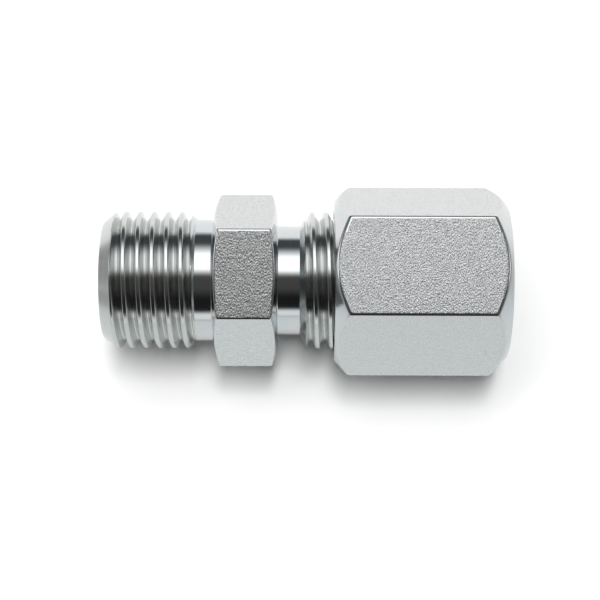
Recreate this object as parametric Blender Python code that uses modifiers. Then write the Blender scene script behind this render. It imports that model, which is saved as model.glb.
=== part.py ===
"""Straight tube connector: a stud fitting body, a cutting ring and a union nut.

Metres, +Z up. The flow axis runs along +X, from the stud's nose to the nut's end face,
and the nut lies on one of its flats at z = 0. Every piece is modelled round its own
local Z axis and hangs on an empty that turns this axis to +X.
"""

import math

import bmesh
import bpy
from mathutils import Matrix

MM = 0.001

# Radial build-up from the tube outwards
TUBE_RADIUS = 3.0 * MM
SOCKET_CLEARANCE = 0.05 * MM
TUBE_STOP_STEP = 0.8 * MM
CONE_RISE = 0.7 * MM
CONE_HALF_ANGLE = math.radians(12.0)
END_LAND = 0.52 * MM
END_CHAMFER = 0.65 * MM
BODY_HEX_LAND = 0.48 * MM
NUT_WALL = 1.08 * MM

# Thread of the stud, of the tube side and of the nut
THREAD_PITCH = 1.0 * MM
THREAD_DEPTH = 0.54 * MM
THREAD_CREST = 0.125 * MM
THREAD_FLANK = math.radians(30.0)
THREAD_RADIAL_CLEARANCE = 0.08 * MM
THREAD_AXIAL_CLEARANCE = 0.05 * MM
CUTTER_MARGIN = 0.05 * MM
STUD_THREAD_ANGLE = math.radians(216.0)
TUBE_THREAD_ANGLE = math.radians(-68.4)

# Fitting body along the axis, from the nose
NOSE_CHAMFER_LENGTH = 1.1 * MM
NOSE_CHAMFER_RISE = 0.56 * MM
BORE_CHAMFER = 0.3 * MM
STUD_LENGTH = 7.94 * MM
STUD_NECK_LENGTH = 1.56 * MM
STUD_NECK_CLEARANCE = 0.02 * MM
BODY_HEX_WIDTH = 4.45 * MM
BODY_HEX_TURN = math.radians(5.7)
BODY_HEX_CHAMFER = math.radians(17.0)
BODY_HEX_FACE_INSET = 0.36 * MM
TUBE_NECK_LENGTH = 1.62 * MM
TUBE_NECK_DEPTH = 0.46 * MM
TUBE_SIDE_LENGTH = 8.07 * MM
SOCKET_STRAIGHT = 2.2 * MM

# Union nut along the axis, from its threaded face
NUT_ENGAGEMENT = 3.98 * MM
NUT_MOUTH_CHAMFER = 0.2 * MM
NUT_THREAD_LENGTH = 6.0 * MM
NUT_RELIEF_WIDTH = 1.0 * MM
NUT_RELIEF_CLEARANCE = 0.07 * MM
NUT_GUIDE_CLEARANCE = 0.15 * MM
NUT_GUIDE_LENGTH = 4.02 * MM
NUT_GUIDE_CHAMFER = 0.25 * MM
NUT_FRONT_INSET = 0.24 * MM
NUT_BACK_INSET = 0.5 * MM
NUT_CHAMFER = math.radians(48.0)
NUT_SHOULDER = math.radians(45.0)

# Cutting ring between the cone and the nut's shoulder
RING_SEAT_CLEARANCE = 0.1 * MM
RING_FACE_CLEARANCE = 0.3 * MM
RING_TIP_WALL = 0.2 * MM
RING_EDGE_LENGTH = 1.2 * MM
RING_BORE_RELIEF = 0.12 * MM
RING_COLLAR_CLEARANCE = 0.25 * MM
RING_COLLAR_CHAMFER = 0.3 * MM
RING_BACK_WALL = 0.5 * MM

# Smoothness
SEGMENTS = 36
HEX_MARGIN = 0.3 * MM
MERGE_DISTANCE = 0.001 * MM
WELD_DISTANCE = 0.0003 * MM
SHARP_ANGLE = math.radians(25.0)

# Sizes that follow from those above
SOCKET_RADIUS = TUBE_RADIUS + SOCKET_CLEARANCE
FLOW_RADIUS = SOCKET_RADIUS - TUBE_STOP_STEP
CONE_MOUTH_RADIUS = SOCKET_RADIUS + CONE_RISE
CONE_DEPTH = CONE_RISE / math.tan(CONE_HALF_ANGLE)
END_FACE_RADIUS = CONE_MOUTH_RADIUS + END_LAND
THREAD_RADIUS = END_FACE_RADIUS + END_CHAMFER
THREAD_ROOT_RADIUS = THREAD_RADIUS - THREAD_DEPTH
STUD_NECK_RADIUS = THREAD_ROOT_RADIUS - STUD_NECK_CLEARANCE
TUBE_NECK_RADIUS = THREAD_ROOT_RADIUS - TUBE_NECK_DEPTH
NOSE_RADIUS = THREAD_RADIUS - NOSE_CHAMFER_RISE
BODY_HEX_FLAT = THREAD_RADIUS + BODY_HEX_LAND
NUT_FLAT = THREAD_RADIUS + NUT_WALL
NUT_MINOR_RADIUS = THREAD_ROOT_RADIUS + THREAD_RADIAL_CLEARANCE
NUT_MAJOR_RADIUS = THREAD_RADIUS + THREAD_RADIAL_CLEARANCE
NUT_RELIEF_RADIUS = NUT_MAJOR_RADIUS + NUT_RELIEF_CLEARANCE
NUT_GUIDE_RADIUS = TUBE_RADIUS + NUT_GUIDE_CLEARANCE
NUT_SHOULDER_START = NUT_THREAD_LENGTH + NUT_RELIEF_WIDTH
NUT_SHOULDER_LENGTH = (NUT_MINOR_RADIUS - NUT_GUIDE_RADIUS) / math.tan(NUT_SHOULDER)
NUT_LENGTH = NUT_SHOULDER_START + NUT_SHOULDER_LENGTH + NUT_GUIDE_LENGTH
BODY_LENGTH = STUD_LENGTH + BODY_HEX_WIDTH + TUBE_SIDE_LENGTH
NUT_START = BODY_LENGTH - NUT_ENGAGEMENT
OVERALL_LENGTH = NUT_START + NUT_LENGTH


def clear_scene():
    """Remove every object that the start-up scene holds."""
    for obj in list(bpy.data.objects):
        bpy.data.objects.remove(obj, do_unlink=True)


def add_collection(name):
    """Add a collection to the scene."""
    collection = bpy.data.collections.new(name)
    bpy.context.scene.collection.children.link(collection)
    return collection


def plated_metal(name, color, roughness):
    """A metallic Principled material."""
    material = bpy.data.materials.new(name)
    material.use_nodes = True
    shader = material.node_tree.nodes["Principled BSDF"]
    shader.inputs["Base Color"].default_value = (*color, 1.0)
    shader.inputs["Metallic"].default_value = 1.0
    shader.inputs["Roughness"].default_value = roughness
    return material


def turned(name, outline, collection):
    """Turn a closed outline of (radius, height) points, down its outer side first."""
    mesh = bpy.data.meshes.new(name)
    points = [(radius, 0.0, height) for radius, height in outline]
    edges = [(i, (i + 1) % len(points)) for i in range(len(points))]
    mesh.from_pydata(points, edges, [])
    obj = bpy.data.objects.new(name, mesh)
    collection.objects.link(obj)
    screw = obj.modifiers.new("turn", "SCREW")
    screw.axis = "Z"
    screw.angle = math.tau
    screw.steps = SEGMENTS
    screw.render_steps = SEGMENTS
    screw.use_merge_vertices = True
    screw.merge_threshold = MERGE_DISTANCE
    return obj


def as_cutter(obj):
    """Show a cutter as a wire frame and keep it out of renders."""
    obj.hide_render = True
    obj.display_type = "WIRE"
    return obj


def mesh_cutter(name, bm, collection):
    """Turn a closed bmesh into a cutter object with its faces outwards."""
    bmesh.ops.recalc_face_normals(bm, faces=bm.faces[:])
    mesh = bpy.data.meshes.new(name)
    bm.to_mesh(mesh)
    bm.free()
    obj = bpy.data.objects.new(name, mesh)
    collection.objects.link(obj)
    return as_cutter(obj)


def hexagon(name, flat_radius, length, turn, collection):
    """A hexagonal bar round Z, with two flats that face +X and -X before its turn."""
    bm = bmesh.new()
    corner_radius = flat_radius / math.cos(math.pi / 6)
    bmesh.ops.create_cone(
        bm,
        cap_ends=True,
        segments=6,
        radius1=corner_radius,
        radius2=corner_radius,
        depth=length + 2 * HEX_MARGIN,
        matrix=Matrix.Rotation(turn, 4, "Z") @ Matrix.Translation((0, 0, length / 2)),
    )
    return mesh_cutter(name, bm, collection)


def crest_width(radius):
    """Width of the outer thread's ridge at a radius."""
    return THREAD_CREST + 2 * (THREAD_RADIUS - radius) * math.tan(THREAD_FLANK)


def outer_groove():
    """Section that the outer threads' tool removes, centred between two ridges."""
    inner = THREAD_ROOT_RADIUS
    outer = THREAD_RADIUS + CUTTER_MARGIN
    half_inner = (THREAD_PITCH - crest_width(inner)) / 2
    half_outer = (THREAD_PITCH - crest_width(outer)) / 2
    middle = THREAD_PITCH / 2
    return [
        (inner, middle - half_inner),
        (outer, middle - half_outer),
        (outer, middle + half_outer),
        (inner, middle + half_inner),
    ]


def inner_groove():
    """Section that the nut's tap removes, which takes in the outer ridge with its clearance."""
    inner = NUT_MINOR_RADIUS - CUTTER_MARGIN
    outer = NUT_MAJOR_RADIUS
    half_inner = crest_width(inner) / 2 + THREAD_AXIAL_CLEARANCE
    half_outer = crest_width(outer) / 2 + THREAD_AXIAL_CLEARANCE
    return [
        (inner, -half_inner),
        (outer, -half_outer),
        (outer, half_outer),
        (inner, half_inner),
    ]


def helix_cutter(name, section, base, angle, start, end, collection):
    """Sweep a section along a right-hand helix from start to end.

    The helix crosses the height base at the given angle. Its steps fall on the
    facets of the turned blanks.
    """
    step = math.tau / SEGMENTS
    rise = THREAD_PITCH / SEGMENTS
    first = math.floor(((start - base) / THREAD_PITCH * math.tau + angle) / step)
    count = math.ceil((end - start) / rise)
    turn = first * step
    height = base + THREAD_PITCH * (turn - angle) / math.tau
    bm = bmesh.new()
    verts = [
        bm.verts.new((radius * math.cos(turn), radius * math.sin(turn), height + offset))
        for radius, offset in section
    ]
    loop = [bm.edges.new((verts[i - 1], verts[i])) for i in range(len(verts))]
    bmesh.ops.spin(
        bm,
        geom=verts + loop,
        cent=(0, 0, 0),
        axis=(0, 0, 1),
        dvec=(0, 0, rise),
        angle=count * step,
        steps=count,
        use_merge=False,
        use_duplicate=False,
    )
    bmesh.ops.holes_fill(bm, edges=[edge for edge in bm.edges if edge.is_boundary], sides=len(section))
    bmesh.ops.triangulate(bm, faces=bm.faces[:])
    return mesh_cutter(name, bm, collection)


def cut(obj, tool, operation="DIFFERENCE"):
    """Add a Boolean modifier to a piece."""
    boolean = obj.modifiers.new(tool.name, "BOOLEAN")
    boolean.operation = operation
    boolean.object = tool
    boolean.solver = "EXACT"


def settle(obj, material):
    """Apply a piece's modifiers and give it its material.

    Points that its cutters left on top of each other are welded, and the piece is shaded
    smooth between its real edges.
    """
    graph = bpy.context.evaluated_depsgraph_get()
    mesh = bpy.data.meshes.new_from_object(obj.evaluated_get(graph))
    bm = bmesh.new()
    bm.from_mesh(mesh)
    bmesh.ops.remove_doubles(bm, verts=bm.verts[:], dist=WELD_DISTANCE)
    bmesh.ops.dissolve_degenerate(bm, edges=bm.edges[:], dist=WELD_DISTANCE)
    bm.to_mesh(mesh)
    bm.free()
    obj.modifiers.clear()
    obj.data = mesh
    mesh.name = obj.name
    mesh.shade_smooth()
    mesh.set_sharp_from_angle(angle=SHARP_ANGLE)
    mesh.materials.clear()
    mesh.materials.append(material)


def body_outline():
    """Closed outline of the turned body, outer side from the tube end down to the nose."""
    hex_start = STUD_LENGTH
    hex_end = hex_start + BODY_HEX_WIDTH
    hex_face = BODY_HEX_FLAT - BODY_HEX_FACE_INSET
    rim = BODY_HEX_FLAT / math.cos(math.pi / 6) + HEX_MARGIN
    chamfer = (rim - hex_face) * math.tan(BODY_HEX_CHAMFER)
    neck_end = hex_end + TUBE_NECK_LENGTH
    thread_start = neck_end + THREAD_RADIUS - TUBE_NECK_RADIUS
    stud_thread_end = STUD_LENGTH - STUD_NECK_LENGTH
    stop = BODY_LENGTH - CONE_DEPTH - SOCKET_STRAIGHT
    return [
        (CONE_MOUTH_RADIUS, BODY_LENGTH),
        (END_FACE_RADIUS, BODY_LENGTH),
        (THREAD_RADIUS, BODY_LENGTH - END_CHAMFER),
        (THREAD_RADIUS, thread_start),
        (TUBE_NECK_RADIUS, neck_end),
        (TUBE_NECK_RADIUS, hex_end),
        (hex_face, hex_end),
        (rim, hex_end - chamfer),
        (rim, hex_start + chamfer),
        (hex_face, hex_start),
        (STUD_NECK_RADIUS, hex_start),
        (STUD_NECK_RADIUS, stud_thread_end),
        (THREAD_RADIUS, stud_thread_end - (THREAD_RADIUS - STUD_NECK_RADIUS)),
        (THREAD_RADIUS, NOSE_CHAMFER_LENGTH),
        (NOSE_RADIUS, 0.0),
        (FLOW_RADIUS + BORE_CHAMFER, 0.0),
        (FLOW_RADIUS, BORE_CHAMFER),
        (FLOW_RADIUS, stop),
        (SOCKET_RADIUS, stop),
        (SOCKET_RADIUS, BODY_LENGTH - CONE_DEPTH),
    ]


def build_body(parts, tools, material):
    """Turned body, its hexagon and its two outer threads."""
    body = turned("fitting_body", body_outline(), parts)
    cut(body, hexagon("body_hexagon", BODY_HEX_FLAT, BODY_LENGTH, BODY_HEX_TURN, tools), "INTERSECT")
    stud_tool = helix_cutter(
        "stud_thread_tool",
        outer_groove(),
        0.0,
        STUD_THREAD_ANGLE,
        -1.5 * THREAD_PITCH,
        STUD_LENGTH - STUD_NECK_LENGTH,
        tools,
    )
    cut(body, stud_tool)
    neck_middle = STUD_LENGTH + BODY_HEX_WIDTH + TUBE_NECK_LENGTH / 2
    tube_tool = helix_cutter(
        "tube_thread_tool",
        outer_groove(),
        BODY_LENGTH,
        TUBE_THREAD_ANGLE,
        neck_middle - THREAD_PITCH / 2,
        BODY_LENGTH + THREAD_PITCH,
        tools,
    )
    cut(body, tube_tool)
    settle(body, material)
    return body


def nut_outline():
    """Closed outline of the turned nut, with height 0 at its threaded face."""
    rim = NUT_FLAT / math.cos(math.pi / 6) + HEX_MARGIN
    front = NUT_FLAT - NUT_FRONT_INSET
    back = NUT_FLAT - NUT_BACK_INSET
    mouth = NUT_MAJOR_RADIUS + NUT_MOUTH_CHAMFER
    shoulder_end = NUT_SHOULDER_START + NUT_SHOULDER_LENGTH
    return [
        (NUT_GUIDE_RADIUS + NUT_GUIDE_CHAMFER, NUT_LENGTH),
        (back, NUT_LENGTH),
        (rim, NUT_LENGTH - (rim - back) / math.tan(NUT_CHAMFER)),
        (rim, (rim - front) / math.tan(NUT_CHAMFER)),
        (front, 0.0),
        (mouth, 0.0),
        (NUT_MINOR_RADIUS, mouth - NUT_MINOR_RADIUS),
        (NUT_MINOR_RADIUS, NUT_THREAD_LENGTH),
        (NUT_RELIEF_RADIUS, NUT_THREAD_LENGTH),
        (NUT_RELIEF_RADIUS, NUT_SHOULDER_START),
        (NUT_MINOR_RADIUS, NUT_SHOULDER_START),
        (NUT_GUIDE_RADIUS, shoulder_end),
        (NUT_GUIDE_RADIUS, NUT_LENGTH - NUT_GUIDE_CHAMFER),
    ]


def build_nut(parts, tools, material):
    """Turned nut, its hexagon and its inner thread, in mesh with the body's."""
    nut = turned("union_nut", nut_outline(), parts)
    cut(nut, hexagon("nut_hexagon", NUT_FLAT, NUT_LENGTH, 0.0, tools), "INTERSECT")
    tap = helix_cutter(
        "nut_thread_tool",
        inner_groove(),
        NUT_ENGAGEMENT,
        TUBE_THREAD_ANGLE,
        -THREAD_PITCH,
        NUT_THREAD_LENGTH + NUT_RELIEF_WIDTH / 2,
        tools,
    )
    cut(nut, tap)
    settle(nut, material)
    nut.location.z = NUT_START
    return nut


def ring_outline():
    """Closed outline of the cutting ring, with height 0 at the body's end face."""
    nose_gap = RING_SEAT_CLEARANCE / math.cos(CONE_HALF_ANGLE)
    nose_mouth = CONE_MOUTH_RADIUS - nose_gap
    tip_radius = SOCKET_RADIUS + RING_TIP_WALL
    tip = -(nose_mouth - tip_radius) / math.tan(CONE_HALF_ANGLE)
    root_radius = nose_mouth + RING_FACE_CLEARANCE * math.tan(CONE_HALF_ANGLE)
    collar_radius = NUT_MINOR_RADIUS - RING_COLLAR_CLEARANCE
    shoulder = NUT_SHOULDER_START - NUT_ENGAGEMENT - RING_SEAT_CLEARANCE / math.sin(NUT_SHOULDER)
    collar_end = shoulder + (NUT_MINOR_RADIUS - collar_radius) / math.tan(NUT_SHOULDER)
    relief_radius = SOCKET_RADIUS + RING_BORE_RELIEF
    back_radius = relief_radius + RING_BACK_WALL
    back = shoulder + (NUT_MINOR_RADIUS - back_radius) / math.tan(NUT_SHOULDER)
    return [
        (relief_radius, back),
        (back_radius, back),
        (collar_radius, collar_end),
        (collar_radius, RING_FACE_CLEARANCE + RING_COLLAR_CHAMFER),
        (collar_radius - RING_COLLAR_CHAMFER, RING_FACE_CLEARANCE),
        (root_radius, RING_FACE_CLEARANCE),
        (tip_radius, tip),
        (SOCKET_RADIUS, tip),
        (SOCKET_RADIUS, tip + RING_EDGE_LENGTH),
        (relief_radius, tip + RING_EDGE_LENGTH + RING_BORE_RELIEF),
    ]


def build_ring(parts, material):
    """Cutting ring in the body's cone."""
    ring = turned("cutting_ring", ring_outline(), parts)
    settle(ring, material)
    ring.location.z = BODY_LENGTH
    return ring


def main():
    """Build the pieces and lay the fitting on the nut's flat."""
    clear_scene()
    parts = add_collection("straight_tube_connector")
    tools = add_collection("cutters")
    zinc = plated_metal("bright_zinc", (0.70, 0.72, 0.75), 0.18)
    hardened = plated_metal("hardened_ring_steel", (0.52, 0.51, 0.47), 0.35)
    axis = bpy.data.objects.new("flow_axis", None)
    parts.objects.link(axis)
    axis.location = (-OVERALL_LENGTH / 2, 0.0, NUT_FLAT)
    axis.rotation_euler = (0.0, math.pi / 2, 0.0)
    for piece in (
        build_body(parts, tools, zinc),
        build_ring(parts, hardened),
        build_nut(parts, tools, zinc),
    ):
        piece.parent = axis


main()
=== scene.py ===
"""Dresses the straight tube connector: plated body, cutting ring and union nut, in a small studio.

Lengths are metres, +X runs along the flow axis and +Z is up. An angle round the flow axis is
measured from +Y towards +Z. Inner and outer threads come from one Geometry Nodes tree, and the
plain stretches between them are lofted on the same columns, so each piece is one closed mesh.
"""

import math

import bmesh
import bpy
from bpy.props import FloatProperty, FloatVectorProperty, IntProperty, PointerProperty
from mathutils import Matrix, Vector


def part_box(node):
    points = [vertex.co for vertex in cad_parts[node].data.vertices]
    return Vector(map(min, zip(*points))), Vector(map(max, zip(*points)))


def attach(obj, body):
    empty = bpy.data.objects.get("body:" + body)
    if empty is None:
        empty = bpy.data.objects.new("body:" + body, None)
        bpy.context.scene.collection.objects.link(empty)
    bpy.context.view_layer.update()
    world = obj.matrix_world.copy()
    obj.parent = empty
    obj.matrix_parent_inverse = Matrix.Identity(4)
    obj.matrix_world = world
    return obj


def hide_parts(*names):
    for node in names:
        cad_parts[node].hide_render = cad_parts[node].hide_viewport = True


bl_info = {
    "name": "Straight tube connector",
    "version": (1, 0, 0),
    "blender": (4, 5, 0),
    "location": "View3D > Sidebar > Connector",
    "description": "Dresses a stud tube connector in plated steel and sets up its studio",
    "category": "Object",
}

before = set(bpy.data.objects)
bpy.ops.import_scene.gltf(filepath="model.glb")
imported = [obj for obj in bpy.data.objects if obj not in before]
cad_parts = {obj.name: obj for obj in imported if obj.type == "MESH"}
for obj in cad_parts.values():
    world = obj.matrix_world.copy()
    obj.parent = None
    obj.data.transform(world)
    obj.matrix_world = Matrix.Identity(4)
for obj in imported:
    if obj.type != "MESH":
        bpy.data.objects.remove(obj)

MM = 0.001
SIXTH = math.tau / 6
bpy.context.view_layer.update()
BODY_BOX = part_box("fitting_body")
NUT_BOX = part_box("union_nut")
RING_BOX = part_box("cutting_ring")
NUT_FLAT = (NUT_BOX[1].z - NUT_BOX[0].z) / 2
AXIS_HEIGHT = NUT_BOX[0].z + NUT_FLAT
MERGE_DISTANCE = 0.002 * MM
SUPPORT = 0.03 * MM

# Slots of the materials on the body and the nut
TURNED, DRAWN, THREADED = range(3)

# Threads: the side to which the ridges point, the slope of a 45 degree chamfer, the slope of the
# first groove's front wall, and the spare turns that are cut off at each end
OUTER = 1.0
INNER = -1.0
DIAGONAL = 1.0
GROOVE_FRONT = 2.5
SPARE_TURNS = 2.0

# Columns: the degrees between them, and their places at a corner, in shares of its rounding
COLUMN_STEP = 3
CORNER_SHARES = (-1.6, -1.0, -0.5, 0.5, 1.0, 1.6)

# Rounded edges: rows in an arc, and the share of a short stretch that an arc and its support may take
ARC_STEPS = 3
ARC_REACH = 0.42
SUPPORT_REACH = 0.48
SHARP_ANGLE = math.radians(42)

# A face lies on a flat of the hexagon if its middle is this far out, in shares of the flat's distance,
# it faces this little along the axis, and six times its angle from a corner has this cosine or less
FLAT_REACH = 0.998
FLAT_ALONG = 0.2
FLAT_SQUARE = -0.97

# Relief of the turned surfaces
TURNED_DEPTH = 0.0009 * MM
RING_DEPTH = 0.0015 * MM

# The studio's room. Over is the angle over the object from the horizon behind it, and rise the angle
# above the horizon, both in degrees. Aside is the sideways part of the direction, from 0 to 1. Each
# pair says where a soft step starts and ends. The horizon is a white wall that is this many degrees
# high, lower behind the object than in front of it, and lower still to the left and right.
SOFTBOX_BACK_OVER = (24.0, 56.0)
SOFTBOX_FRONT_OVER = (76.0, 95.0)
SOFTBOX_MIDDLE_ASIDE = (0.26, 0.48)
SOFTBOX_LEFT_ASIDE = (0.74, 0.83)
SOFTBOX_RIGHT_ASIDE = (0.87, 0.92)
SOFTBOX_END_ASIDE = (0.935, 0.965)
SOFTBOX_FAINTEST = 0.12
HORIZON_TOP = 9.5
HORIZON_TILT = 6.5
HORIZON_DROP = 8.0
HORIZON_BLUR = 5.0
DARK_ABOVE_OVER = (60.0, 90.0)
DARK_FRONT_OVER = (112.0, 138.0)
DARK_SIDE_RISE = (5.0, 30.0)
SIDE_ASIDE = (0.60, 0.85)
WHITE = (1.0, 1.0, 1.0, 1.0)

# The floor, the distances from the object's middle at which its painted light changes, and the two
# lamps.
# The floor's tone is painted: lit behind the object, painted shade in front of it, and deeper painted
# shade further out to the left and right
FLOOR_SIZE = 4.0
FLOOR_DROP = 0.01 * MM
FLOOR_SHADE_BLEND = 0.015
FLOOR_SIDE_SHADE_BLEND = (0.03, 0.09)
KEY_PLACE = (0.01, 0.06, 0.60)
KEY_SIZE = (0.09, 0.26)
FILL_PLACE = (-0.19, 0.17, 0.54)
FILL_SIZE = (0.70, 0.18)


def length(name, description, millimetres, smallest=0.0):
    """A length property in metres, given in millimetres."""
    return FloatProperty(
        name=name,
        description=description,
        default=millimetres * MM,
        min=smallest * MM,
        unit="LENGTH",
        precision=5,
    )


def angle(name, description, degrees):
    """An angle property, given in degrees."""
    return FloatProperty(
        name=name, description=description, default=math.radians(degrees), subtype="ANGLE"
    )


def plain(name, description, value):
    """A property without a unit."""
    return FloatProperty(name=name, description=description, default=value, precision=4)


def color(name, description, value):
    """A colour property, linear."""
    return FloatVectorProperty(
        name=name, description=description, default=value, subtype="COLOR", size=3, min=0.0, max=1.0
    )


class ThreadSizes(bpy.types.PropertyGroup):
    """Section of the 10 x 1 thread, which both ends of the body share."""

    pitch: length("Pitch", "Axial distance between two ridges", 1.0, 0.1)
    radius: length("Crest radius", "Outer radius of the outer threads", 4.92)
    depth: length("Depth", "Radial depth of the outer groove", 0.60)
    crest: length("Crest width", "Flat width at a ridge's top", 0.27)
    flank: angle("Flank angle", "Lean of a flank away from the radial plane", 27.0)
    rounding: length("Rounding", "Radial reach of the rounding at crest and root", 0.10)
    rows: IntProperty(name="Rows", description="Rows of faces in one pitch", default=24, min=8)


class BodySizes(bpy.types.PropertyGroup):
    """Sizes of the turned body, measured from the stud's nose."""

    nose_radius: length("Nose radius", "Outer radius of the nose face", 4.20)
    nose_chamfer: length("Nose chamfer", "Axial length of the nose chamfer", 0.87, 0.1)
    nose_land: length("Nose rounding", "Axial length of the rounded edge at the nose", 0.1)
    stud_phase: length("Stud thread place", "Where a ridge of the stud thread crosses +Y", 0.53)
    stud_length: length("Stud length", "Nose to hexagon", 7.94)
    stud_neck: length("Stud neck", "Length of the plain neck behind the stud thread", 1.26)
    stud_neck_radius: length("Stud neck radius", "Radius of that neck", 4.38)
    hex_width: length("Hexagon width", "Axial width of the hexagon", 4.48)
    hex_flat: length("Half width over flats", "Flow axis to a flat of the hexagon", 5.40)
    hex_face: length("Hexagon face radius", "Radius where the hexagon's face meets its chamfer", 5.04)
    hex_chamfer: angle("Hexagon chamfer", "Lean of the chamfer from the face", 17.0)
    hex_turn: angle("Hexagon turn", "Turn of the hexagon against the nut's", 5.7)
    hex_corner: length("Hexagon corner", "Rounding along the hexagon's six corners", 0.22)
    tube_neck: length("Tube side neck", "Length of the neck on the tube side", 1.62)
    tube_neck_radius: length("Tube side neck radius", "Radius of that neck", 3.92)
    tube_phase: length("Tube thread place", "Where a ridge of the tube side thread crosses +Y", 14.85)
    stud_fade: plain("Stud thread fade", "Slope at which the stud thread fades into its neck", 0.8)
    tube_rise: plain("Tube thread rise", "Slope at which the tube side thread leaves its neck", 1.6)
    end_radius: length("End radius", "Outer radius of the tube side's end face", 4.27)
    bore_radius: length("Flow bore", "Radius of the flow bore", 2.25)
    bore_chamfer: length("Bore chamfer", "Chamfer at the flow bore's mouth", 0.3)
    socket_radius: length("Socket radius", "Radius of the tube's socket", 3.05)
    socket_straight: length("Socket length", "Straight stretch of the socket", 2.2)
    cone_radius: length("Cone mouth", "Radius of the sealing cone's mouth", 3.75)
    cone_lean: angle("Cone half angle", "Half angle of the sealing cone", 12.0)
    edge: length("Edge rounding", "Rounding of the turned edges", 0.06)
    hex_edge: length("Hexagon edge", "Rounding between a flat and the hexagon's chamfer", 0.18)
    fillet: length("Neck fillet", "Fillet between a neck and the hexagon", 0.12)


class NutSizes(bpy.types.PropertyGroup):
    """Sizes of the union nut, measured from its threaded face."""

    front_radius: length("Front radius", "Radius where the threaded face meets its chamfer", 5.76)
    back_radius: length("Back radius", "Radius where the tube face meets its chamfer", 5.57)
    corner: length("Hexagon corner", "Rounding along the hexagon's six corners", 0.28)
    edge: length("Edge rounding", "Rounding of the turned edges", 0.12)
    hex_edge: length("Hexagon edge", "Rounding between a flat and a chamfer", 0.45)
    chamfer: angle("Chamfer", "Lean of both chamfers from the flow axis", 48.0)
    mouth_radius: length("Mouth radius", "Radius of the threaded mouth's chamfer", 5.2)
    minor_radius: length("Ridge radius", "Inner radius of the inner thread", 4.46)
    major_radius: length("Root radius", "Outer radius of the inner thread", 5.0)
    crest: length("Crest width", "Flat width at an inner ridge's top", 0.14)
    thread_length: length("Thread length", "Length of the inner thread", 6.0)
    thread_fade: plain("Thread fade", "Slope at which the inner thread ends at its relief", 4.0)
    relief_radius: length("Relief radius", "Radius of the groove behind the thread", 5.07)
    relief_width: length("Relief width", "Width of that groove", 1.0)
    guide_radius: length("Tube hole", "Radius of the hole that the tube passes", 3.15)
    guide_chamfer: length("Tube hole chamfer", "Chamfer of that hole at the tube face", 0.25)


class RingSizes(bpy.types.PropertyGroup):
    """Sizes of the cutting ring, measured from the body's end face."""

    seat_gap: length("Room at the seats", "Room between the ring and its seats", 0.1)
    face_gap: length("Room at the face", "Room between the body's end face and the collar", 0.3)
    tip_wall: length("Tip wall", "Wall at the cutting edge", 0.2)
    edge_length: length("Edge length", "Length of the narrow bore behind the cutting edge", 1.2)
    bore_relief: length("Bore relief", "Radial relief of the bore behind it", 0.12)
    collar_gap: length("Room at the collar", "Room between the collar and the nut's ridges", 0.25)
    collar_chamfer: length("Collar chamfer", "Chamfer at the collar's front", 0.3)
    back_wall: length("Back wall", "Wall at the ring's back", 0.5)
    edge: length("Edge rounding", "Rounding of the ring's edges", 0.05)


class Finish(bpy.types.PropertyGroup):
    """Colours, roughness and grain of the plated steel and of the ring."""

    zinc: color("Zinc", "Colour of the bluish zinc plating", (0.60, 0.64, 0.665))
    warm_zinc: color("Warm zinc", "Plating where it shimmers warm", (0.645, 0.645, 0.635))
    grain_zinc: color("Grained zinc", "Plating on the drawn flats", (0.632, 0.642, 0.652))
    thread_zinc: color("Thread zinc", "Colour of the plating on the threads", (0.60, 0.615, 0.61))
    ring_steel: color("Ring steel", "Colour of the hardened cutting ring", (0.50, 0.49, 0.45))
    turned_roughness: plain("Turned roughness", "Roughness of the turned surfaces", 0.12)
    thread_roughness: plain("Thread roughness", "Roughness of the threads", 0.18)
    drawn_roughness: plain("Drawn roughness", "Roughness of the drawn flats", 0.235)
    ring_roughness: plain("Ring roughness", "Roughness of the cutting ring", 0.3)
    body_grain: length("Body grain", "Depth of the grain on the body's flats", 0.040)
    nut_grain: length("Nut grain", "Depth of the grain on the nut's flats", 0.046)
    body_speckle: plain("Body speckle", "How much darker and lighter specks are on the body", 0.11)
    nut_speckle: plain("Nut speckle", "How much darker and lighter specks are on the nut", 0.06)


class Studio(bpy.types.PropertyGroup):
    """Camera, floor and light."""

    elevation: angle("Elevation", "Height of the camera above the horizon", 80.544)
    azimuth: angle("Azimuth", "Turn of the camera round the object", -1.043)
    roll: angle("Roll", "Turn of the picture", -0.826)
    distance: length("Distance", "Camera to the point that it looks at", 111.05)
    view_x: length("Looked-at point", "Distance of that point behind the nose", 14.03)
    view_up: plain("Raise", "How far the camera stands above that point, in millimetres", -1.42)
    scale: plain("Scale", "Picture elements per millimetre at that distance", 13.84)
    picture: plain("Picture width", "Width of the picture in picture elements", 600.0)
    # Painted light on the floor, for all rays but the camera's: a lit tone behind the object, painted
    # shade in front of it and deeper painted shade to the left and right
    floor_lit_behind: color("Floor behind", "Colour of the floor behind the object", (0.99, 0.985, 0.975))
    floor_shade_front: color("Floor in front", "Colour of the floor in front of it", (0.75, 0.775, 0.77))
    floor_shade_aside: color("Floor aside", "Colour of the floor to the left and right", (0.38, 0.38, 0.38))
    seen_floor: color("Seen floor", "Colour of the floor for the camera", (1.0, 1.0, 1.0))
    softbox: plain("Softbox", "Brightness of the softbox behind the object", 1.85)
    dark_back: color("Dark behind", "Colour of the studio behind the object", (0.065, 0.075, 0.080))
    dark_over: color("Dark above", "Colour of the studio above the object", (0.075, 0.073, 0.068))
    dark_front: color("Dark in front", "Colour of the studio in front of it", (0.014, 0.014, 0.014))
    dark_side: color("Dark aside", "Colour of the studio high on both sides", (0.09, 0.095, 0.10))
    low_side: color("Low aside", "Colour of the studio low on both sides", (0.30, 0.305, 0.31))
    key: plain("Key light", "Power of the lamp above, in watts", 1.95)
    fill: plain("Fill light", "Power of the wide lamp to the left, in watts", 1.1)


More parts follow.
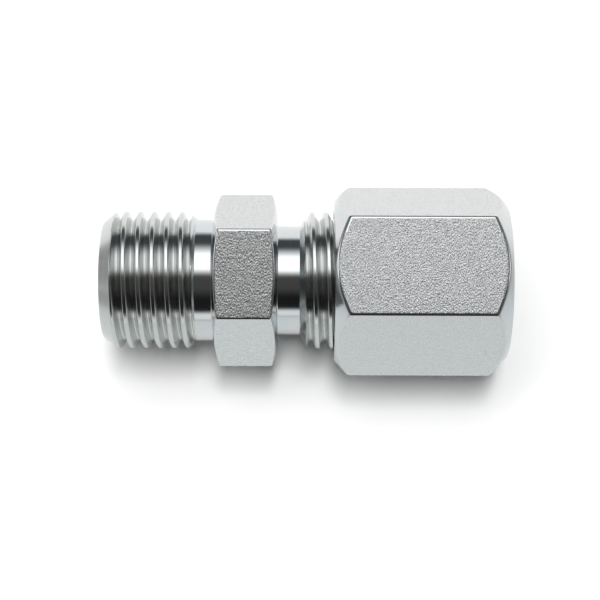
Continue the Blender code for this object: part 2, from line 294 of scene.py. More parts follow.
class Wire:
    """A node's output socket, with arithmetic that adds Math nodes to its tree."""

    def __init__(self, graph, socket):
        self.graph = graph
        self.socket = socket

    def math(self, operation, *others):
        """The result of a Math node on this value and others."""
        inputs = dict(enumerate((self, *others)))
        return self.graph.node("ShaderNodeMath", {"operation": operation}, inputs).out(0)

    def __add__(self, other):
        return self.math("ADD", other)

    __radd__ = __add__

    def __sub__(self, other):
        return self.math("SUBTRACT", other)

    def __rsub__(self, other):
        inputs = {0: other, 1: self}
        return self.graph.node("ShaderNodeMath", {"operation": "SUBTRACT"}, inputs).out(0)

    def __mul__(self, other):
        return self.math("MULTIPLY", other)

    __rmul__ = __mul__

    def __truediv__(self, other):
        return self.math("DIVIDE", other)


class Node:
    """A node whose outputs are read as wires."""

    def __init__(self, graph, node):
        self.graph = graph
        self.node = node

    def out(self, key):
        """One output, by its name or number."""
        return Wire(self.graph, self.node.outputs[key])


class Graph:
    """Adds nodes to a node tree."""

    def __init__(self, tree):
        self.tree = tree
        self.tree.nodes.clear()

    def node(self, kind, settings=None, inputs=None):
        """Add a node: its settings first, then the values or wires of its sockets."""
        node = self.tree.nodes.new(kind)
        for name, value in (settings or {}).items():
            setattr(node, name, value)
        for key, value in (inputs or {}).items():
            if isinstance(value, Wire):
                self.tree.links.new(value.socket, node.inputs[key])
            else:
                node.inputs[key].default_value = value
        return Node(self, node)

    def mix(self, factor, first, second):
        """Mix two colours."""
        settings = {"data_type": "RGBA", "clamp_factor": True}
        return self.node("ShaderNodeMix", settings, {0: factor, 6: first, 7: second}).out(2)

    def smooth_step(self, value, start, end):
        """0 below start and 1 above end, with a soft step between them."""
        settings = {"interpolation_type": "SMOOTHSTEP"}
        return self.node("ShaderNodeMapRange", settings, {0: value, 1: start, 2: end}).out(0)


THREAD_INPUTS = (
    ("Start", "NodeSocketFloat"),
    ("End", "NodeSocketFloat"),
    ("Pitch", "NodeSocketFloat"),
    ("Phase", "NodeSocketFloat"),
    ("Crest Radius", "NodeSocketFloat"),
    ("Depth", "NodeSocketFloat"),
    ("Crest Width", "NodeSocketFloat"),
    ("Flank Slope", "NodeSocketFloat"),
    ("Rounding", "NodeSocketFloat"),
    ("Start Radius", "NodeSocketFloat"),
    ("Start Slope", "NodeSocketFloat"),
    ("Start Land", "NodeSocketFloat"),
    ("End Radius", "NodeSocketFloat"),
    ("End Slope", "NodeSocketFloat"),
    ("Side", "NodeSocketFloat"),
    ("Rows", "NodeSocketInt"),
    ("Material", "NodeSocketMaterial"),
)


def thread_tree():
    """A helical thread as a sleeve of quads round X, on the columns of the input ring.

    The input's points stand at the columns' angles. Side is 1 for an outer thread and -1 for
    an inner one. The rows follow the helix, so crests and roots run along edges. At each end
    the sleeve closes to a plain circle, where the neighbouring stretch is joined.
    """
    tree = bpy.data.node_groups.new("helical_thread", "GeometryNodeTree")
    tree.interface.new_socket("Geometry", in_out="INPUT", socket_type="NodeSocketGeometry")
    for name, kind in THREAD_INPUTS:
        tree.interface.new_socket(name, in_out="INPUT", socket_type=kind)
    tree.interface.new_socket("Geometry", in_out="OUTPUT", socket_type="NodeSocketGeometry")
    graph = Graph(tree)
    group = graph.node("NodeGroupInput")
    start = group.out("Start")
    end = group.out("End")
    pitch = group.out("Pitch")
    phase = group.out("Phase")
    side = group.out("Side")
    rows = group.out("Rows")
    ring = group.out("Geometry")

    # A grid with a column for each point of the ring, and one more that closes the turn
    count = graph.node("GeometryNodeAttributeDomainSize", {}, {"Geometry": ring}).out("Point Count")
    turns = ((end - start) / pitch).math("CEIL") + 2 * SPARE_TURNS
    grid = graph.node(
        "GeometryNodeMeshGrid",
        {},
        {"Size X": 1.0, "Size Y": 1.0, "Vertices X": turns * rows + 1.0, "Vertices Y": count + 1.0},
    )
    index = graph.node("GeometryNodeInputIndex").out(0)
    row = (index / (count + 1.0)).math("FLOOR")
    column = index - row * (count + 1.0)
    last = column.math("COMPARE", count, 0.5)
    ring_angle = graph.node(
        "GeometryNodeInputNamedAttribute", {"data_type": "FLOAT"}, {"Name": "angle"}
    )
    sampled = graph.node(
        "GeometryNodeSampleIndex",
        {"data_type": "FLOAT", "domain": "POINT"},
        {"Geometry": ring, "Value": ring_angle.out(0), "Index": column * (1.0 - last)},
    ).out(0)
    turn = (sampled + last * math.tau) / math.tau

    # Each row climbs by one pitch a turn, and what would lie past an end is laid onto that end
    base = phase + pitch * (((start - phase) / pitch).math("FLOOR") - SPARE_TURNS)
    along = base + pitch * (row / rows + turn)
    along = along.math("MAXIMUM", start).math("MINIMUM", end)

    # How far below the crest the surface lies, at this distance from the nearest ridge
    ridge = (along - phase) / pitch - turn
    distance = (ridge - ridge.math("ROUND")).math("ABSOLUTE") * pitch
    rounding = group.out("Rounding")
    slide = (distance - group.out("Crest Width") * 0.5) / group.out("Flank Slope")
    slide = slide.math("SMOOTH_MAX", 0.0, rounding).math("SMOOTH_MIN", group.out("Depth"), rounding)

    # Near both ends the surface stays between a ceiling and a floor, which meet the next stretch
    from_start = along - start
    to_end = end - along
    start_level = side * group.out("Start Radius")
    end_level = side * group.out("End Radius")
    start_ceiling = start_level + group.out("Start Slope") * from_start
    ceiling = start_ceiling.math("MINIMUM", end_level + group.out("End Slope") * to_end)
    past_land = (from_start - group.out("Start Land")).math("MAXIMUM", 0.0)
    start_floor = start_ceiling - past_land * GROOVE_FRONT
    floor = start_floor.math("MAXIMUM", end_level - to_end)
    level = (side * group.out("Crest Radius") - slide).math("SMOOTH_MIN", ceiling, rounding * 0.5)
    level = level.math("MINIMUM", ceiling).math("MAXIMUM", floor)

    # The place of each point round the axis
    radius = side * level
    round_angle = turn * math.tau
    place = graph.node(
        "ShaderNodeCombineXYZ",
        {},
        {0: along, 1: radius * round_angle.math("COSINE"), 2: radius * round_angle.math("SINE")},
    ).out(0)
    moved = graph.node("GeometryNodeSetPosition", {}, {"Geometry": grid.out("Mesh"), "Position": place})
    merged = graph.node(
        "GeometryNodeMergeByDistance", {}, {"Geometry": moved.out(0), "Distance": MERGE_DISTANCE}
    )
    real = graph.node("GeometryNodeRealizeInstances", {}, {"Geometry": merged.out(0)})
    finished = graph.node(
        "GeometryNodeSetMaterial", {}, {"Geometry": real.out(0), "Material": group.out("Material")}
    )
    graph.node("NodeGroupOutput", {}, {"Geometry": finished.out(0)})
    return tree


def thread_sleeve(name, columns, material, values):
    """Evaluate the thread tree on a ring of columns and return the result as a plain mesh."""
    ring = bpy.data.meshes.new(name)
    ring.from_pydata([(0.0, math.cos(turn), math.sin(turn)) for turn in columns], [], [])
    ring.attributes.new("angle", "FLOAT", "POINT").data.foreach_set("value", columns)
    obj = bpy.data.objects.new(name, ring)
    bpy.context.scene.collection.objects.link(obj)
    tree = bpy.data.node_groups.get("helical_thread") or thread_tree()
    modifier = obj.modifiers.new("thread", "NODES")
    modifier.node_group = tree
    items = [item for item in tree.interface.items_tree if item.in_out == "INPUT"]
    sockets = {item.name: item.identifier for item in items}
    for key, value in {**values, "Material": material}.items():
        modifier[sockets[key]] = value
    graph = bpy.context.evaluated_depsgraph_get()
    mesh = bpy.data.meshes.new_from_object(obj.evaluated_get(graph))
    obj.modifiers.clear()
    bpy.data.objects.remove(obj)
    bpy.data.meshes.remove(ring)
    return mesh


def corner_tangent(flat, rounding):
    """Angle from a hexagon's corner to its rounding's end, and how far out the rounding's centre is."""
    centre = (flat - rounding) / math.cos(SIXTH / 2)
    return SIXTH / 2 - math.atan2(centre * math.sin(SIXTH / 2), flat), centre


def hexagon_columns(flat, rounding, turn):
    """Angles of the columns round a hexagonal piece, close together at its rounded corners."""
    tangent, _ = corner_tangent(flat, rounding)
    half = round(math.degrees(SIXTH / 2))
    wide = [math.radians(step) for step in range(COLUMN_STEP - half, half + 1, COLUMN_STEP)]
    close = [share * tangent for share in CORNER_SHARES]
    offsets = sorted(wide + close)
    return [turn + corner * SIXTH + offset for corner in range(6) for offset in offsets]


def hexagon_radius(column, flat, rounding, turn):
    """Distance from the axis to the hexagon's side at a column."""
    tangent, centre = corner_tangent(flat, rounding)
    offset = abs((column - turn + SIXTH / 2) % SIXTH - SIXTH / 2)
    if offset < tangent:
        return centre * math.cos(offset) + math.sqrt(rounding**2 - (centre * math.sin(offset)) ** 2)
    return flat / math.cos(SIXTH / 2 - offset)


def rounded(corners):
    """An outline through (x, radius, rounding) corners, with an arc and two support points at each.

    A corner with no rounding stays one point. An arc takes up less than half of a short stretch.
    """
    outline = []
    for number, (x, radius, rounding) in enumerate(corners):
        corner = Vector((x, radius))
        if not rounding:
            outline.append(corner)
            continue
        back = Vector(corners[number - 1][:2]) - corner
        ahead = Vector(corners[number + 1][:2]) - corner
        half = back.angle(ahead) / 2
        reach = min(back.length, ahead.length)
        tangent = min(rounding / math.tan(half), ARC_REACH * reach)
        outer = min(tangent + SUPPORT, SUPPORT_REACH * reach)
        back.normalize()
        ahead.normalize()
        centre = corner + (back + ahead).normalized() * (tangent / math.cos(half))
        first = corner + back * tangent - centre
        last = corner + ahead * tangent - centre
        swing = math.pi - 2 * half
        outline.append(corner + back * outer)
        for step in range(ARC_STEPS + 1):
            share = step / ARC_STEPS
            mixed = first * math.sin((1 - share) * swing) + last * math.sin(share * swing)
            outline.append(centre + mixed / math.sin(swing))
        outline.append(corner + ahead * outer)
    return outline


def loft(bm, columns, outlines):
    """Join the outlines of neighbouring columns with quads, all the way round the axis."""
    rings = [
        [bm.verts.new((x, r * math.cos(turn), r * math.sin(turn))) for x, r in outline]
        for turn, outline in zip(columns, outlines)
    ]
    for number, ring in enumerate(rings):
        before = rings[number - 1]
        for low in range(len(ring) - 1):
            bm.faces.new((before[low], before[low + 1], ring[low + 1], ring[low]))


def on_flat(face, flat, turn):
    """Whether a face is part of a hexagon's flat, and not of a chamfer or a rounding."""
    middle = face.calc_center_median()
    across = math.cos((math.atan2(face.normal.z, face.normal.y) - turn) * 6)
    far_out = math.hypot(middle.y, middle.z) > FLAT_REACH * flat
    return far_out and abs(face.normal.x) < FLAT_ALONG and across < FLAT_SQUARE


def finish_piece(name, bm, start, flat, turn, body, node, materials):
    """Close a piece's mesh, put it in its place and let it stand for its CAD node.

    Flat is the distance from the axis to a flat of its hexagon, or None, and turn is the
    hexagon's turn. The materials are those of turned faces, of the flats and of the threads.
    """
    bmesh.ops.remove_doubles(bm, verts=bm.verts[:], dist=MERGE_DISTANCE)
    bmesh.ops.dissolve_degenerate(bm, edges=bm.edges[:], dist=MERGE_DISTANCE / 10)
    bmesh.ops.recalc_face_normals(bm, faces=bm.faces[:])
    open_edges = sum(1 for edge in bm.edges if not edge.is_manifold)
    if open_edges:
        raise RuntimeError(f"{name} has {open_edges} open edges")
    for face in bm.faces:
        if flat and on_flat(face, flat, turn):
            face.material_index = DRAWN
        face.smooth = True
    bmesh.ops.translate(bm, verts=bm.verts[:], vec=(start, 0.0, AXIS_HEIGHT))
    mesh = bpy.data.meshes.new(name)
    bm.to_mesh(mesh)
    bm.free()
    mesh.set_sharp_from_angle(angle=SHARP_ANGLE)
    for material in materials:
        mesh.materials.append(material)
    obj = bpy.data.objects.new(name, mesh)
    bpy.context.scene.collection.objects.link(obj)
    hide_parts(node)
    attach(obj, body)


def add_sleeve(bm, mesh):
    """Add a thread's mesh to a bmesh that holds only threads so far, and delete it."""
    bm.from_mesh(mesh)
    for face in bm.faces:
        face.material_index = THREADED
    bpy.data.meshes.remove(mesh)


def new_material(name):
    """A material with an empty tree and its graph."""
    material = bpy.data.materials.new(name)
    material.use_nodes = True
    return material, Graph(material.node_tree)


def opaque(color):
    """A colour with full alpha, as a colour socket takes it."""
    return (*color, 1.0)


def noise(graph, point, scale, detail, roughness, **settings):
    """A noise value between 0 and 1 at a point given in millimetres."""
    key = "W" if settings.get("noise_dimensions") == "1D" else "Vector"
    inputs = {key: point, "Scale": scale, "Detail": detail, "Roughness": roughness}
    return graph.node("ShaderNodeTexNoise", settings, inputs).out(0)


def millimetre_point(graph):
    """The object's own coordinates, in millimetres."""
    place = graph.node("ShaderNodeTexCoord").out("Object")
    settings = {"operation": "SCALE"}
    return graph.node("ShaderNodeVectorMath", settings, {0: place, "Scale": 1.0 / MM}).out(0)


def steel_shader(graph, base, roughness, height, depth):
    """Metal with a base colour, a roughness and a relief whose depth is in metres."""
    relief = graph.node("ShaderNodeBump", {}, {"Height": height, "Distance": depth, "Strength": 1.0})
    shader = graph.node(
        "ShaderNodeBsdfPrincipled",
        {},
        {"Base Color": base, "Metallic": 1.0, "Roughness": roughness, "Normal": relief.out(0)},
    )
    graph.node("ShaderNodeOutputMaterial", {}, {"Surface": shader.out(0)})


def turned_zinc(name, color, warm_color, roughness):
    """Bright zinc over a lathe-turned surface: fine rings across the axis and a faint shimmer."""
    material, graph = new_material(name)
    point = millimetre_point(graph)
    x = graph.node("ShaderNodeSeparateXYZ", {}, {0: point}).out(0)
    fine = noise(graph, x, scale=22.0, detail=3.0, roughness=0.6, noise_dimensions="1D")
    broad = noise(graph, x, scale=5.0, detail=2.0, roughness=0.5, noise_dimensions="1D")
    cloud = noise(graph, point, scale=0.9, detail=3.0, roughness=0.5)
    specks = noise(graph, point, scale=14.0, detail=2.0, roughness=0.6)
    shimmer = graph.smooth_step(cloud * 0.7 + broad * 0.3, start=0.42, end=0.62)
    base = graph.mix(shimmer, opaque(color), opaque(warm_color))
    uneven = roughness + (fine - 0.5) * 0.05 + (specks - 0.5) * 0.06
    relief = fine * 0.6 + broad + specks * 0.12
    steel_shader(graph, base, uneven, relief, TURNED_DEPTH)
    return material


def drawn_zinc(name, finish, grain_depth, speckle):
    """Bright zinc over a drawn hexagonal bar: a fine pitted grain with light and dark specks.

    The grain is finer along the axis than across it.
    """
    material, graph = new_material(name)
    point = millimetre_point(graph)
    settings = {"operation": "MULTIPLY"}
    finer_along = (1.9, 1.0, 1.0)
    squeezed = graph.node("ShaderNodeVectorMath", settings, {0: point, 1: finer_along}).out(0)
    grain = noise(graph, squeezed, scale=7.0, detail=2.0, roughness=0.55)
    specks = noise(graph, point, scale=8.5, detail=1.0, roughness=0.5)
    darker = tuple(channel * (1.0 - speckle) for channel in finish.grain_zinc)
    lighter = tuple(channel * (1.0 + speckle) for channel in finish.grain_zinc)
    speck = graph.smooth_step(specks, start=0.3, end=0.7)
    base = graph.mix(speck, opaque(darker), opaque(lighter))
    roughness = finish.drawn_roughness + (speck - 0.5) * 0.2
    steel_shader(graph, base, roughness, grain, grain_depth)
    return material


def ring_steel(finish):
    """Hardened ring steel, fine-turned and a little dull."""
    material, graph = new_material("hardened_ring_steel")
    point = millimetre_point(graph)
    x = graph.node("ShaderNodeSeparateXYZ", {}, {0: point}).out(0)
    fine = noise(graph, x, scale=18.0, detail=3.0, roughness=0.6, noise_dimensions="1D")
    cloud = noise(graph, point, scale=1.3, detail=3.0, roughness=0.5)
    darker = tuple(channel * 0.86 for channel in finish.ring_steel)
    base = graph.mix(cloud, opaque(darker), opaque(finish.ring_steel))
    roughness = finish.ring_roughness + (fine - 0.5) * 0.1
    steel_shader(graph, base, roughness, fine + cloud * 0.2, RING_DEPTH)
    return material


def turned_and_threaded(finish):
    """The materials of turned faces and of threads, which the body and the nut share."""
    made = bpy.data.materials
    turned = made.get("turned_zinc")
    if not turned:
        turned = turned_zinc("turned_zinc", finish.zinc, finish.warm_zinc, finish.turned_roughness)
    threaded = made.get("threaded_zinc")
    if not threaded:
        tone = finish.thread_zinc
        threaded = turned_zinc("threaded_zinc", tone, tone, finish.thread_roughness)
    return turned, threaded


class CONNECTOR_OT_body(bpy.types.Operator):
    """Build the fitting body with its hexagon, its two outer threads and its sealing cone"""

    bl_idname = "connector.body"
    bl_label = "Fitting Body"

    def execute(self, context):
        sizes = context.scene.connector_body
        thread = context.scene.connector_thread
        finish = context.scene.connector_finish
        total = BODY_BOX[1].x - BODY_BOX[0].x
        turned, threaded = turned_and_threaded(finish)
        drawn = drawn_zinc("drawn_zinc_body", finish, finish.body_grain, finish.body_speckle)
        columns = hexagon_columns(sizes.hex_flat, sizes.hex_corner, sizes.hex_turn)
        hex_start = sizes.stud_length
        hex_end = hex_start + sizes.hex_width
        stud_start = sizes.nose_land
        nose_slope = (thread.radius - sizes.nose_radius) / sizes.nose_chamfer
        stud_start_radius = sizes.nose_radius + sizes.nose_land * nose_slope
        stud_end = hex_start - sizes.stud_neck
        tube_start = hex_end + sizes.tube_neck
        tube_end = total - sizes.nose_land
        tube_end_radius = sizes.end_radius + sizes.nose_land
        slope = math.tan(sizes.hex_chamfer)
        cone_depth = (sizes.cone_radius - sizes.socket_radius) / math.tan(sizes.cone_lean)
        stop = total - cone_depth - sizes.socket_straight

        def outside(column):
            side = hexagon_radius(column, sizes.hex_flat, sizes.hex_corner, sizes.hex_turn)
            chamfer = (side - sizes.hex_face) * slope
            return rounded([
                (stud_end, sizes.stud_neck_radius, 0.0),
                (stud_end + SUPPORT, sizes.stud_neck_radius, 0.0),
                (hex_start, sizes.stud_neck_radius, sizes.fillet),
                (hex_start, sizes.hex_face, sizes.edge),
                (hex_start + chamfer, side, sizes.hex_edge),
                (hex_end - chamfer, side, sizes.hex_edge),
                (hex_end, sizes.hex_face, sizes.edge),
                (hex_end, sizes.tube_neck_radius, sizes.fillet),
                (tube_start - SUPPORT, sizes.tube_neck_radius, 0.0),
                (tube_start, sizes.tube_neck_radius, 0.0),
            ])

        inside = rounded([
            (tube_end, tube_end_radius, 0.0),
            (total, sizes.end_radius, sizes.edge),
            (total, sizes.cone_radius, sizes.edge),
            (total - cone_depth, sizes.socket_radius, sizes.edge),
            (stop, sizes.socket_radius, sizes.edge),
            (stop, sizes.bore_radius, sizes.edge),
            (sizes.bore_chamfer, sizes.bore_radius, sizes.edge),
            (0.0, sizes.bore_radius + sizes.bore_chamfer, sizes.edge),
            (0.0, sizes.nose_radius, sizes.edge),
            (stud_start, stud_start_radius, 0.0),
        ])
        shared = {
            "Pitch": thread.pitch,
            "Crest Radius": thread.radius,
            "Depth": thread.depth,
            "Crest Width": thread.crest,
            "Flank Slope": math.tan(thread.flank),
            "Rounding": thread.rounding,
            "Side": OUTER,
            "Rows": thread.rows,
        }
        chamfer_left = sizes.nose_chamfer - 1.5 * sizes.nose_land
        stud = {
            "Start": stud_start,
            "End": stud_end,
            "Phase": sizes.stud_phase,
            "Start Radius": stud_start_radius,
            "Start Slope": nose_slope,
            "Start Land": chamfer_left,
            "End Radius": sizes.stud_neck_radius,
            "End Slope": sizes.stud_fade,
        }
        tube = {
            "Start": tube_start,
            "End": tube_end,
            "Phase": sizes.tube_phase,
            "Start Radius": sizes.tube_neck_radius,
            "Start Slope": sizes.tube_rise,
            "Start Land": 0.0,
            "End Radius": tube_end_radius,
            "End Slope": DIAGONAL,
        }
        bm = bmesh.new()
        add_sleeve(bm, thread_sleeve("stud_thread", columns, threaded, {**shared, **stud}))
        add_sleeve(bm, thread_sleeve("tube_thread", columns, threaded, {**shared, **tube}))
        loft(bm, columns, [outside(column) for column in columns])
        loft(bm, columns, [inside] * len(columns))
        finish_piece(
            "plated_body",
            bm,
            BODY_BOX[0].x,
            sizes.hex_flat,
            sizes.hex_turn,
            "body",
            "fitting_body",
            (turned, drawn, threaded),
        )
        return {"FINISHED"}


class CONNECTOR_OT_nut(bpy.types.Operator):
    """Build the union nut with its inner thread, its shoulder and its tube hole"""

    bl_idname = "connector.nut"
    bl_label = "Union Nut"

    def execute(self, context):
        sizes = context.scene.connector_nut
        body = context.scene.connector_body
        thread = context.scene.connector_thread
        finish = context.scene.connector_finish
        total = NUT_BOX[1].x - NUT_BOX[0].x
        turned, threaded = turned_and_threaded(finish)
        drawn = drawn_zinc("drawn_zinc_nut", finish, finish.nut_grain, finish.nut_speckle)
        columns = hexagon_columns(NUT_FLAT, sizes.corner, 0.0)
        shoulder = sizes.thread_length + sizes.relief_width
        guide_start = shoulder + sizes.minor_radius - sizes.guide_radius
        slope = math.tan(sizes.chamfer)

        def wall(column):
            side = hexagon_radius(column, NUT_FLAT, sizes.corner, 0.0)
            return rounded([
                (0.0, sizes.mouth_radius, 0.0),
                (0.0, sizes.front_radius, sizes.edge),
                ((side - sizes.front_radius) / slope, side, sizes.hex_edge),
                (total - (side - sizes.back_radius) / slope, side, sizes.hex_edge),
                (total, sizes.back_radius, sizes.edge),
                (total, sizes.guide_radius + sizes.guide_chamfer, sizes.edge),
                (total - sizes.guide_chamfer, sizes.guide_radius, sizes.edge),
                (guide_start, sizes.guide_radius, sizes.edge),
                (shoulder, sizes.minor_radius, sizes.edge),
                (shoulder, sizes.relief_radius, sizes.edge),
                (sizes.thread_length, sizes.relief_radius, 0.0),
            ])

        nut_start = NUT_BOX[0].x - BODY_BOX[0].x
        values = {
            "Start": 0.0,
            "End": sizes.thread_length,
            "Pitch": thread.pitch,
            "Phase": body.tube_phase + thread.pitch / 2 - nut_start,
            "Crest Radius": sizes.minor_radius,
            "Depth": sizes.major_radius - sizes.minor_radius,
            "Crest Width": sizes.crest,
            "Flank Slope": math.tan(thread.flank),
            "Rounding": thread.rounding,
            "Start Radius": sizes.mouth_radius,
            "Start Slope": DIAGONAL,
            "Start Land": 0.0,
            "End Radius": sizes.relief_radius,
            "End Slope": sizes.thread_fade,
            "Side": INNER,
            "Rows": thread.rows // 2,
        }
        bm = bmesh.new()
        add_sleeve(bm, thread_sleeve("nut_thread", columns, threaded, values))
        loft(bm, columns, [wall(column) for column in columns])
        finish_piece(
            "plated_nut",
            bm,
            NUT_BOX[0].x,
            NUT_FLAT,
            0.0,
            "nut",
            "union_nut",
            (turned, drawn, threaded),
        )
        return {"FINISHED"}


class CONNECTOR_OT_ring(bpy.types.Operator):
    """Build the cutting ring between the sealing cone and the nut's shoulder"""

    bl_idname = "connector.ring"
    bl_label = "Cutting Ring"

    def execute(self, context):
        sizes = context.scene.connector_ring
        body = context.scene.connector_body
        nut = context.scene.connector_nut
        end = BODY_BOX[1].x
        cone = math.tan(body.cone_lean)
        mouth = body.cone_radius - sizes.seat_gap / math.cos(body.cone_lean)
        tip_radius = body.socket_radius + sizes.tip_wall
        tip = (tip_radius - mouth) / cone
        root_radius = mouth + sizes.face_gap * cone
        collar = nut.minor_radius - sizes.collar_gap
        relief = body.socket_radius + sizes.bore_relief
        back_radius = relief + sizes.back_wall
        back = RING_BOX[1].x - end
        outline = rounded([
            (back, relief, 0.0),
            (back, back_radius, sizes.edge),
            (back + back_radius - collar, collar, sizes.edge),
            (sizes.face_gap + sizes.collar_chamfer, collar, sizes.edge),
            (sizes.face_gap, collar - sizes.collar_chamfer, sizes.edge),
            (sizes.face_gap, root_radius, sizes.edge),
            (tip, tip_radius, sizes.edge),
            (tip, body.socket_radius, sizes.edge / 2),
            (tip + sizes.edge_length, body.socket_radius, sizes.edge),
            (tip + sizes.edge_length + sizes.bore_relief, relief, sizes.edge),
            (back, relief, 0.0),
        ])
        columns = [math.radians(step) for step in range(0, 360, COLUMN_STEP)]
        bm = bmesh.new()
        loft(bm, columns, [outline] * len(columns))
        finish_piece(
            "hardened_ring",
            bm,
            end,
            None,
            0.0,
            "ring",
            "cutting_ring",
            (ring_steel(context.scene.connector_finish),),
        )
        return {"FINISHED"}


def look_matrix(studio):
    """The camera's place and turn: it looks down on the middle of the fitting."""
    elevation = studio.elevation
    azimuth = studio.azimuth
    look = Vector((
        math.sin(azimuth) * math.cos(elevation),
        math.cos(azimuth) * math.cos(elevation),
        -math.sin(elevation),
    ))
    right = look.cross(Vector((0.0, 0.0, 1.0))).normalized()
    up = right.cross(look)
    turned_right = right * math.cos(studio.roll) + up * math.sin(studio.roll)
    turned_up = up * math.cos(studio.roll) - right * math.sin(studio.roll)
    middle = Vector((BODY_BOX[0].x + studio.view_x, 0.0, AXIS_HEIGHT))
    place = middle + up * (studio.view_up * MM) - look * studio.distance
    turn = Matrix((turned_right, turned_up, -look)).transposed().to_4x4()
    return Matrix.Translation(place) @ turn


def studio_world(studio):
    """White for the camera; for the rest a dark room with a white horizon and one long softbox.

    The softbox is bright in its middle and at both ends, and faint between them.
    """
    world = bpy.data.worlds.new("studio")
    bpy.context.scene.world = world
    world.use_nodes = True
    graph = Graph(world.node_tree)
    direction = graph.node("ShaderNodeTexCoord").out("Generated")
    parts = graph.node("ShaderNodeSeparateXYZ", {}, {0: direction})
    x, y, z = (parts.out(number) for number in range(3))
    over = z.math("ARCTAN2", y) * math.degrees(1.0)
    rise = z.math("ARCSINE") * math.degrees(1.0)
    aside = x.math("ABSOLUTE")
    horizon_top = HORIZON_TOP - HORIZON_TILT * y - HORIZON_DROP * aside
    horizon = 1.0 - graph.smooth_step(rise - horizon_top, -HORIZON_BLUR, HORIZON_BLUR)
    behind = graph.smooth_step(over, *SOFTBOX_BACK_OVER)
    box = behind * (1.0 - graph.smooth_step(over, *SOFTBOX_FRONT_OVER))
    middle = 1.0 - graph.smooth_step(aside, *SOFTBOX_MIDDLE_ASIDE)
    left = graph.smooth_step(-1.0 * x, *SOFTBOX_LEFT_ASIDE)
    right = graph.smooth_step(x, *SOFTBOX_RIGHT_ASIDE)
    spread = middle.math("MAXIMUM", left).math("MAXIMUM", right).math("MAXIMUM", SOFTBOX_FAINTEST)
    box = box * spread * (1.0 - graph.smooth_step(aside, *SOFTBOX_END_ASIDE))
    above = graph.smooth_step(over, *DARK_ABOVE_OVER)
    front = graph.smooth_step(over, *DARK_FRONT_OVER)
    high = graph.smooth_step(rise, *DARK_SIDE_RISE)
    dark = graph.mix(above, opaque(studio.dark_back), opaque(studio.dark_over))
    dark = graph.mix(front, dark, opaque(studio.dark_front))
    side = graph.mix(high, opaque(studio.low_side), opaque(studio.dark_side))
    dark = graph.mix(graph.smooth_step(aside, *SIDE_ASIDE), dark, side)
    tone = graph.mix(horizon.math("MAXIMUM", box), dark, WHITE)
    seen = graph.node("ShaderNodeLightPath").out("Is Camera Ray")
    tone = graph.mix(seen, tone, WHITE)
    strength = 1.0 + box * (1.0 - seen) * (studio.softbox - 1.0)
    background = graph.node("ShaderNodeBackground", {}, {"Color": tone, "Strength": strength})
    graph.node("ShaderNodeOutputWorld", {}, {"Surface": background.out(0)})


def add_lamp(name, place, size, power):
    """A rectangular lamp that shines on the origin and that gloss doesn't mirror."""
    lamp = bpy.data.lights.new(name, "AREA")
    lamp.shape = "RECTANGLE"
    lamp.size, lamp.size_y = size
    lamp.energy = power
    obj = bpy.data.objects.new(name, lamp)
    place = Vector(place)
    obj.matrix_world = Matrix.Translation(place) @ place.to_track_quat("Z", "Y").to_matrix().to_4x4()
    obj.visible_glossy = False
    bpy.context.scene.collection.objects.link(obj)


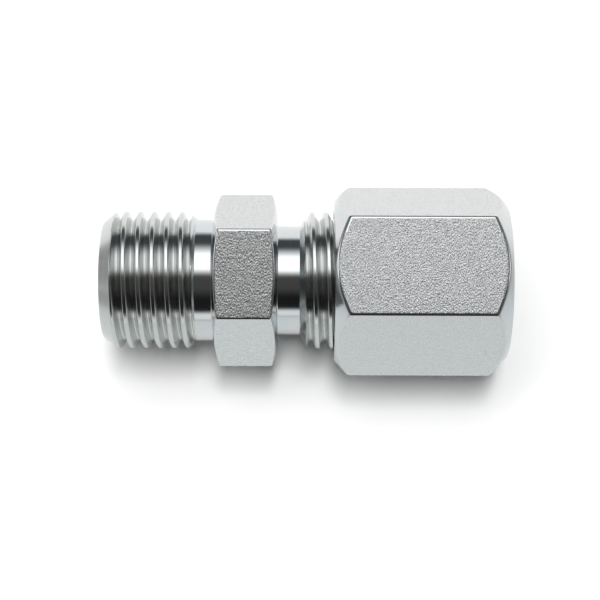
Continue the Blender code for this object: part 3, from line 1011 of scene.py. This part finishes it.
class CONNECTOR_OT_studio(bpy.types.Operator):
    """Set up the floor, the light and the camera"""

    bl_idname = "connector.studio"
    bl_label = "Studio"

    def execute(self, context):
        studio = context.scene.connector_studio
        scene = context.scene
        scene.view_settings.view_transform = "Standard"
        studio_world(studio)

        bpy.ops.mesh.primitive_plane_add(size=FLOOR_SIZE, location=(0.0, 0.0, -FLOOR_DROP))
        floor = context.object
        floor.name = "studio_floor"
        material, graph = new_material("studio_floor")
        # Painted shade on the floor for all rays but the camera's, seen in the metal's reflections: lit
        # behind the object, darker in front of it and darker still to the left and right
        place = graph.node("ShaderNodeTexCoord").out("Object")
        parts = graph.node("ShaderNodeSeparateXYZ", {}, {0: place})
        back = graph.smooth_step(parts.out(1), -FLOOR_SHADE_BLEND, FLOOR_SHADE_BLEND)
        tone = graph.mix(back, opaque(studio.floor_shade_front), opaque(studio.floor_lit_behind))
        aside = graph.smooth_step(parts.out(0).math("ABSOLUTE"), *FLOOR_SIDE_SHADE_BLEND)
        tone = graph.mix(aside, tone, opaque(studio.floor_shade_aside))
        seen = graph.node("ShaderNodeLightPath").out("Is Camera Ray")
        tone = graph.mix(seen, tone, opaque(studio.seen_floor))
        shader = graph.node("ShaderNodeBsdfDiffuse", {}, {"Color": tone})
        graph.node("ShaderNodeOutputMaterial", {}, {"Surface": shader.out(0)})
        floor.data.materials.append(material)

        add_lamp("key_lamp", KEY_PLACE, KEY_SIZE, studio.key)
        add_lamp("fill_lamp", FILL_PLACE, FILL_SIZE, studio.fill)

        camera = bpy.data.cameras.new("camera")
        camera.sensor_width = 36.0
        camera.lens = camera.sensor_width * studio.scale * studio.distance / MM / studio.picture
        camera.clip_start = 0.005
        camera.clip_end = 10.0
        viewer = bpy.data.objects.new("camera", camera)
        viewer.matrix_world = look_matrix(studio)
        scene.collection.objects.link(viewer)
        scene.camera = viewer
        return {"FINISHED"}


class CONNECTOR_PT_panel(bpy.types.Panel):
    """Lists the connector's pieces, its sizes and its finish"""

    bl_idname = "CONNECTOR_PT_panel"
    bl_label = "Straight Tube Connector"
    bl_space_type = "VIEW_3D"
    bl_region_type = "UI"
    bl_category = "Connector"

    def draw(self, context):
        for operator in OPERATORS:
            self.layout.operator(operator.bl_idname)
        for name in GROUPS:
            group = getattr(context.scene, name)
            box = self.layout.box()
            for key in group.bl_rna.properties.keys():
                if key not in ("rna_type", "name"):
                    box.prop(group, key)


OPERATORS = (CONNECTOR_OT_body, CONNECTOR_OT_nut, CONNECTOR_OT_ring, CONNECTOR_OT_studio)
GROUPS = {
    "connector_thread": ThreadSizes,
    "connector_body": BodySizes,
    "connector_nut": NutSizes,
    "connector_ring": RingSizes,
    "connector_finish": Finish,
    "connector_studio": Studio,
}


def register():
    """Register the classes and hang the property groups on the scene."""
    for cls in (*GROUPS.values(), *OPERATORS, CONNECTOR_PT_panel):
        bpy.utils.register_class(cls)
    for name, group in GROUPS.items():
        setattr(bpy.types.Scene, name, PointerProperty(type=group))


def unregister():
    """Take the property groups off the scene and remove the classes."""
    for name in GROUPS:
        delattr(bpy.types.Scene, name)
    for cls in reversed((*GROUPS.values(), *OPERATORS, CONNECTOR_PT_panel)):
        bpy.utils.unregister_class(cls)


def main():
    """Build every piece and the studio."""
    register()
    bpy.ops.connector.body()
    bpy.ops.connector.nut()
    bpy.ops.connector.ring()
    bpy.ops.connector.studio()


if __name__ == "__main__":
    main()
